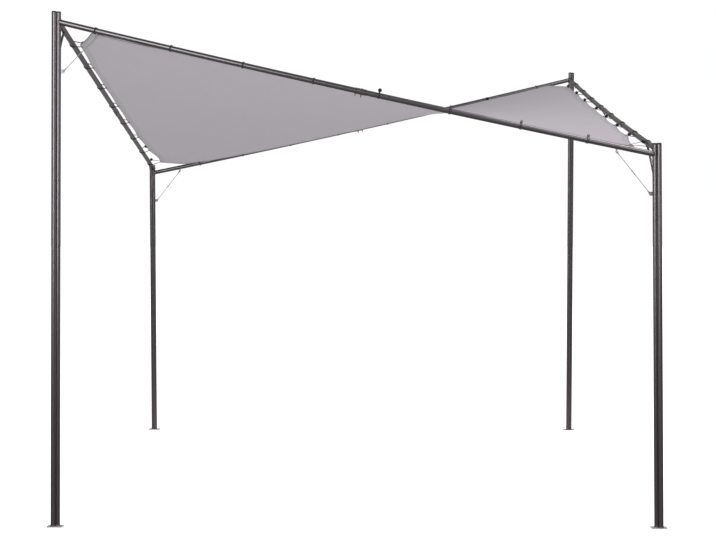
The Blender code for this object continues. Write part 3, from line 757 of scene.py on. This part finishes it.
def cornerStay(edge, corner):
    # twisted wire between an eye under the beam and a tab on the post, with a tightener
    signX, _, tall = cornerPlaces[corner]
    share = stayLook["along"] / beamLength(edge)
    onBeam = beamLine(edge, share if tall else 1 - share)
    rise = stayLook["riseTall"] if tall else stayLook["riseShort"]
    onPost = tubeAxis(corner, onBeam[2] - rise, -1)
    down, out = np.array([0, 0, -1.0]), np.array([-signX, 0, 0.0])
    upper = onBeam + down * (plan["beam"] + stayLook["lug"])
    lower = onPost + out * (plan["tube"] + stayLook["lug"])
    run = unit(lower - upper)
    facing = np.array([0, 1.0, 0])
    ring = stayLook["ring"]
    start, end = upper + run * ring * 2.1, lower - run * ring * 2.1
    middle = (start + end) / 2
    parts = [twistedWire(start - run * 0.004, end + run * 0.004, facing),
             eyeRing(upper, facing, 0.0016), eyeRing(upper + run * ring * 1.25, facing, 0.0013),
             eyeRing(lower - run * ring * 1.25, facing, 0.0013)]
    shank = [[0.0022, 0.0], [0.0022, stayLook["lug"] - ring]]
    parts.append(shell(lathe(shank, onBeam + down * plan["beam"], down, 16)))
    nut = [[0.0052, -0.0012], [0.0052, 0.0006], [0.0045, 0.0008], [0.0045, 0.0038], [0.0036, 0.0044]]
    parts.append(shell(lathe(nut, onBeam + down * plan["beam"], down, 6)))
    for spot, way in ((start, 1), (end, -1)):
        crimp = [[0.0016, 0.0], [0.0026, 0.0008], [0.0026, 0.0112], [0.0016, 0.0120]]
        parts.append(shell(lathe(crimp, spot + run * way * 0.001, run * way, 20)))
    barrel = [[0.0016, -0.0150], [0.0028, -0.0142], [0.0030, -0.0100], [0.0023, -0.0080],
              [0.0023, 0.0080], [0.0030, 0.0100], [0.0028, 0.0142], [0.0016, 0.0150]]
    parts.append(shell(lathe(barrel, middle, run, 24)))
    # painted tab on the post, with the bolt that the wire hooks on
    outline = plateOutline(*stayLook["tab"], 0.0)
    inner = plateOutline(*stayLook["tab"], 0.0006)
    hub = onPost + out * (plan["tube"] + 0.0070)
    rows = [np.column_stack([pick[:, 0], np.full(4 * quarterPoints, level), pick[:, 1]]) + hub
            for pick, level in ((inner, -0.0016), (outline, -0.0010), (outline, 0.0010),
                                (inner, 0.0016))]
    parts.append(shell(np.stack(rows), finish=1))
    bolt = [[0.0045, -0.0058], [0.0045, -0.0030], [0.0026, -0.0028], [0.0026, 0.0028],
            [0.0044, 0.0030], [0.0044, 0.0060]]
    parts.append(shell(lathe(bolt, lower, facing, 16)))
    return parts


for edge, (tall, short, _) in edgePlaces.items():
    for corner in (tall, short):
        if edge in ("left", "right"):
            makePiece("rod_" + corner, cornerBrace(edge, corner), [paint, weldPaint],
                      ["brace_" + corner])
        else:
            makePiece("wire_" + corner, cornerStay(edge, corner), [wireSteel, paint],
                      ["stay_" + corner])
print("braces and stays made")


# the sail hangs between the beams: cut corners at the tall posts, tips at the short ones
sailLook = {"cutFront": 0.155, "cutSide": 0.275, "cutInset": 0.044, "cutReach": 0.36,
            "tipLong": {"front": 0.325, "back": 0.230}, "tipSide": 0.150, "tipInset": 0.070,
            "tipReach": {"left": 0.550, "right": 0.353}, "tipPower": {"left": 1.0, "right": 2.0},
            "inset": {"front": 0.036, "back": 0.036, "left": 0.030, "right": 0.034},
            "rise": {"front": (-0.004, 0.0116), "back": (0.004, -0.019), "left": (-0.004, 0.008),
                     "right": (-0.006, -0.008)},
            "corner": {"front_left": 2.512, "front_right": 1.850, "back_left": 1.896,
                       "back_right": 2.520},
            "tipFade": {"front": 6, "back": 10, "left": 6, "right": 6}, "rimPoints": 1100,
            "shrink": 1.42, "slackFade": 0.06, "slackDrop": 0.3, "creases": 13, "creaseDepth": 0.0010,
            "creaseHub": 1.40, "creaseReach": 0.40}
# loops' distances from the tall post, and how far the free edge draws in after each
loopTable = {"front": (0.165, 0.556, 0.917, 1.270, 1.598, 1.954, 2.307, 2.641),
             "back": (0.225, 0.588, 0.945, 1.300, 1.650, 1.990, 2.330, 2.641),
             "left": tuple(0.290 + 0.352 * k for k in range(8)),
             "right": tuple(0.290 + 0.352 * k for k in range(8))}
scallopTable = {"front": (0.006,) * 7, "back": (0.006,) * 7,
                "left": (0.008, 0.005, 0.005, 0.006, 0.010, 0.018, 0.024),
                "right": (0.009, 0.009, 0.009, 0.009, 0.010, 0.012, 0.018)}
# rings of the cloth's grid, from its rim inwards, and half its thickness there: rolled rim, two
# stitch rows in the hem, then the single cloth
rimDistance = np.array([0.0, 0.0006, 0.0018, 0.0032, 0.0044, 0.0054, 0.0076, 0.0085, 0.0094, 0.020,
                        0.0286, 0.0295, 0.0304, 0.0335, 0.0345, 0.042, 0.060, 0.090, 0.14, 0.21,
                        0.30, 0.41, 0.54, 0.68, 0.82, 0.96, 1.09, 1.21, 1.31, 1.385])
halfThickness = np.array([0.0, 0.0012, 0.0019, 0.0019, 0.0013, 0.0008, 0.0008, 0.0005, 0.0008,
                          0.0008, 0.0008, 0.0005, 0.0008, 0.0008, 0.0004] + [0.0004] * 15)


def isSide(edge):
    # side edges run from front to back
    return edge in ("left", "right")


def edgePoint(edge, distance, inset):
    # plan point at a distance from the tall post along a beam, and at an inset from its axis
    line = beamLine(edge, distance / beamLength(edge))
    return (line + np.array(edgePlaces[edge][2]) * np.asarray(inset)[..., None])[..., :2]


def scallop(edge, distance):
    # between two loops the free edge draws in by depth * sin(pi t)
    places, depths = np.array(loopTable[edge]), np.array(scallopTable[edge])
    index = np.clip(np.searchsorted(places, distance) - 1, 0, len(places) - 2)
    share = np.clip((distance - places[index]) / (places[index + 1] - places[index]), 0, 1)
    return depths[index] * np.sin(math.pi * share)


def edgeInset(edge, distance):
    # side edges draw in towards both corners by a power of the share of the way
    inset = sailLook["inset"][edge] + scallop(edge, distance)
    if not isSide(edge):
        return inset
    last = beamLength(edge) - sailLook["tipSide"]
    toTip = np.clip(1 - (last - distance) / sailLook["tipReach"][edge], 0, 1)
    toTip = toTip ** sailLook["tipPower"][edge]
    toCut = np.clip(1 - (distance - sailLook["cutSide"]) / sailLook["cutReach"], 0, 1) ** 2
    return (inset + (sailLook["tipInset"] - sailLook["inset"][edge]) * toTip
            + (sailLook["cutInset"] - sailLook["inset"][edge]) * toCut)


def straight(first, last, depth, count=60):
    # straight line drawn in to the left of its direction by depth * sin(pi t)
    t = np.linspace(0, 1, count)[1:-1, None]
    step = last - first
    normal = np.array([-step[1], step[0]]) / np.linalg.norm(step)
    return first + step * t + normal * depth * np.sin(math.pi * t)


def sailRim():
    # plan outline, counter-clockwise from above: each edge, each cut corner and each tip in turn
    def run(edge, first, last):
        distance = np.linspace(first, last, 260)
        return edgePoint(edge, distance, edgeInset(edge, distance)), scallop(edge, distance)

    frontEnd = beamLength("front") - sailLook["tipLong"]["front"]
    backEnd = beamLength("back") - sailLook["tipLong"]["back"]
    sideEnd = beamLength("left") - sailLook["tipSide"]
    front, frontSlack = run("front", sailLook["cutFront"], frontEnd)
    right, rightSlack = run("right", sideEnd, sailLook["cutSide"])
    back, backSlack = run("back", sailLook["cutFront"], backEnd)
    left, leftSlack = run("left", sideEnd, sailLook["cutSide"])
    bridges = [straight(front[-1], right[0], 0.004), straight(right[-1], back[0], 0.005),
               straight(back[-1], left[0], 0.004), straight(left[-1], front[0], 0.005)]
    calm = np.zeros(len(bridges[0]))
    outline = np.concatenate([front, bridges[0], right, bridges[1], back, bridges[2], left,
                              bridges[3]])
    slack = np.concatenate([frontSlack, calm, rightSlack, calm, backSlack, calm, leftSlack, calm])
    closed = np.concatenate([outline, outline[:1]])
    walked = np.concatenate([[0], np.cumsum(np.linalg.norm(np.diff(closed, axis=0), axis=1))])
    even = np.arange(sailLook["rimPoints"]) * walked[-1] / sailLook["rimPoints"]
    rim = np.stack([np.interp(even, walked, closed[:, k]) for k in range(2)], -1)
    rim = (np.roll(rim, 1, 0) + 2 * rim + np.roll(rim, -1, 0)) / 4
    return rim, np.interp(even, walked, np.append(slack, slack[0])), even, walked[-1]


def edgeHeight(edge, share):
    # height of the cloth along a beam, share 0 at the tall end, before the corners are blended in
    share = np.asarray(share, float)
    tall, short = sailLook["rise"][edge]
    return beamLine(edge, share)[..., 2] + tall + (short - tall) * share


def sailHeight(x, y):
    # Coons blend of the four edges' heights over the plan, with corner heights shared by
    # neighbouring edges and faded in as a power of the share, the sixth or tenth
    reachX = beamEnd("front", "front_right")[0]
    reachY = beamEnd("right", "back_right")[1]
    u, v = (x + reachX) / (2 * reachX), (y + reachY) / (2 * reachY)
    corner = sailLook["corner"]

    def blended(edge, share):
        tall, short, _ = edgePlaces[edge]
        height = edgeHeight(edge, share)
        height = height + (corner[tall] - edgeHeight(edge, 0.0)) * (1 - share) ** 6
        return height + (corner[short] - edgeHeight(edge, 1.0)) * share ** sailLook["tipFade"][edge]

    front, back = blended("front", u), blended("back", 1 - u)
    left, right = blended("left", v), blended("right", 1 - v)
    low = (1 - u) * corner["front_left"] + u * corner["front_right"]
    high = (1 - u) * corner["back_left"] + u * corner["back_right"]
    corners = (1 - v) * low + v * high
    return (1 - v) * front + v * back + (1 - u) * left + u * right - corners


rimPlan, rimSlack, rimRun, rimLength = sailRim()


def clothNormal(x, y):
    # (-slope along x, -slope along y, 1) made one long, the slopes as differences over 2 mm
    slopeX = (sailHeight(x + 0.001, y) - sailHeight(x - 0.001, y)) / 0.002
    slopeY = (sailHeight(x, y + 0.001) - sailHeight(x, y - 0.001)) / 0.002
    return unit(np.stack([-slopeX, -slopeY, np.ones_like(slopeX)], -1))


def clothPoints(distance, thickness):
    # rim scaled towards the plan's middle by 1 - distance / shrink, on the sail's height less the
    # slack of its rim, with faint creases that fan out from the four corners, cos(creases * angle)
    # * exp(-distance from the corner / reach), and moved half a thickness along the cloth's normal
    scale = 1 - distance[:, None, None] / sailLook["shrink"]
    flat = rimPlan[None] * scale
    x, y = flat[..., 0], flat[..., 1]
    fade = np.exp(-distance[:, None] / sailLook["slackFade"])
    hub = sailLook["creaseHub"]
    tight = sum(np.cos(sailLook["creases"] * np.arctan2(y - signY * hub, x - signX * hub))
                * np.exp(-np.hypot(x - signX * hub, y - signY * hub) / sailLook["creaseReach"])
                for signX, signY, _ in cornerPlaces.values())
    z = (sailHeight(x, y) - sailLook["slackDrop"] * rimSlack * fade
         + sailLook["creaseDepth"] * tight * (1 - fade))
    return np.stack([x, y, z], -1) + clothNormal(x, y) * thickness[:, None, None]


def makeSail():
    # one closed skin: top face from the middle out to the rim, round it, and back below
    inside = np.concatenate([rimDistance[::-1], rimDistance[1:]])
    side = np.concatenate([halfThickness[::-1], -halfThickness[1:]])
    points = clothPoints(inside, side)
    run = np.append(rimRun, rimLength)
    uv = np.stack(np.broadcast_arrays(run[None, :], inside[:, None]), -1)
    middle = [np.array([0, 0, float(sailHeight(0.0, 0.0)) + way * 0.0004]) for way in (1, -1)]
    return makePiece("shade_sail", [shell(points, caps=middle, uv=uv)], [cloth],
                     ["sail"], crease=60)


sail = makeSail()
print("sail made")


# where each toggle sits, from the tall post: on the cloth, under it, on the beam, behind its crown,
# in the gap, above the gap, or leaning on the beam; "peak" is under the cloth with a raised strand
toggles = {"front": ["crown"] * 4 + ["beam", "peak", "peak", "peak"],
           "back": ["under"] + ["cloth"] * 7,
           "left": ["tall"] + ["cloth"] * 5 + ["above", "lean"],
           "right": ["cloth"] * 3 + ["gap"] * 4 + ["crown"]}
loopLook = {"cord": 0.0018, "beamTurn": 0.0159, "spread": 0.0020, "ball": 0.0098,
            "eyeletInset": 0.012, "eyelet": 0.0088, "hole": 0.0044, "turnPoints": 64,
            "crest": (0.009, 0.029), "peakSpread": 1.7, "shortest": 0.0004}


def eyeletPlace(edge, index):
    # on the cloth, a little inside the rim, and further in at the tip and at the cut corner
    distance = loopTable[edge][index]
    inset = float(edgeInset(edge, np.array(distance))) + loopLook["eyeletInset"]
    if isSide(edge) and index == 7:
        distance, inset = distance - 0.014, inset + 0.012
    if index == 0:
        distance = distance + 0.014
    x, y = edgePoint(edge, distance, np.array(inset))
    return np.array([x, y, float(sailHeight(x, y))])


def hull(middles, radii, count):
    # taut band round several discs, by support: the disc with the largest centre . n + radius
    normals = circle(1.0, count)
    reach = normals @ middles.T + radii
    pick = reach.argmax(1)
    return middles[pick] + radii[pick][:, None] * normals


def elasticLoop(edge, index):
    # two strands side by side round the beam and the toggle, through the eyelet
    eyelet = eyeletPlace(edge, index)
    share = loopTable[edge][index] / beamLength(edge)
    along, inward, up = beamFrame(edge, share)
    axis = beamLine(edge, share)
    axis = axis + along * ((eyelet - axis) @ along)
    hole = np.array([(eyelet - axis) @ inward, (eyelet - axis) @ up])
    radius = loopLook["ball"]
    below = hole - [0.0, radius + 0.001]
    spots = {"cloth": hole + [0.0, radius + 0.001], "under": below, "peak": below,
             "beam": np.array([0.0, plan["beam"] + radius + 0.0035]), "tall": hole + [-0.002, 0.019],
             "above": np.array([0.026, 0.032]), "lean": np.array([0.011, 0.0255]),
             "gap": np.array([0.0285, -0.002]), "crown": np.array([0.0235, 0.009])}
    kind = toggles[edge][index]
    spot = spots[kind]
    crest = np.array(loopLook["crest"]) if kind == "peak" else hole
    spread = loopLook["spread"] * (loopLook["peakSpread"] if kind == "peak" else 1.0)
    middles = np.array([[0.0, 0.0], hole, spot + unit(-spot) * radius * 0.55, crest])
    band = hull(middles, np.array([loopLook["beamTurn"], 0.0024, 0.0026, 0.0024]),
                loopLook["turnPoints"])
    parts = []
    for way in (-1, 1):
        path = axis + band[:, :1] * inward + band[:, 1:] * up + along * way * spread
        step = np.linalg.norm(np.roll(path, -1, 0) - path, axis=1)
        keep = step > loopLook["shortest"]
        path = path[keep]
        ring = circle(loopLook["cord"], 8)
        points = sweep(path, ring, along, closed=True)
        run = np.concatenate([[0], np.cumsum(step[keep])])
        around = np.arange(9) / 8 * 2 * math.pi * loopLook["cord"]
        uv = np.stack(np.broadcast_arrays(around[None, :], run[:, None]), -1)
        parts.append(shell(points, wrapRows=True, uv=uv))
    ball = axis + spot[0] * inward + spot[1] * up
    return parts, ball, unit(ball - axis), eyelet


def toggleBall(middle, axis):
    # sphere with a moulding line at its middle and a dimple at each end of its bore
    angle = np.linspace(0.06, 0.94, 21) * math.pi
    line = 1 + 0.018 * np.exp(-((angle - math.pi / 2) / 0.05) ** 2)
    radius = loopLook["ball"] * line
    profile = np.stack([radius * np.sin(angle), -radius * np.cos(angle)], -1)
    dimple = loopLook["ball"] * 0.86
    return shell(lathe(profile, middle, axis, 24),
                 caps=(middle - axis * dimple, middle + axis * dimple), finish=1)


def eyeletRing(middle, normal):
    # flat-backed rolled ring on both faces of the cloth
    outer, inner = loopLook["eyelet"], loopLook["hole"]
    rim = (outer + inner) / 2
    half = (outer - inner) / 2
    angle = np.linspace(0, 2 * math.pi, 14, endpoint=False)
    profile = np.stack([rim + half * np.cos(angle), 0.0017 * np.sin(angle)], -1)
    return shell(lathe(profile, middle, normal, 28), wrapRows=True, finish=2)


for edge in edgePlaces:
    parts = []
    for index in range(8):
        strands, ball, axis, eyelet = elasticLoop(edge, index)
        parts += strands + [toggleBall(ball, axis), eyeletRing(eyelet, clothNormal(*eyelet[:2]))]
    makePiece("loops_" + edge, parts, [elastic, ballPlastic, eyeletSteel],
              ["lacing_" + edge])
print("loops made")
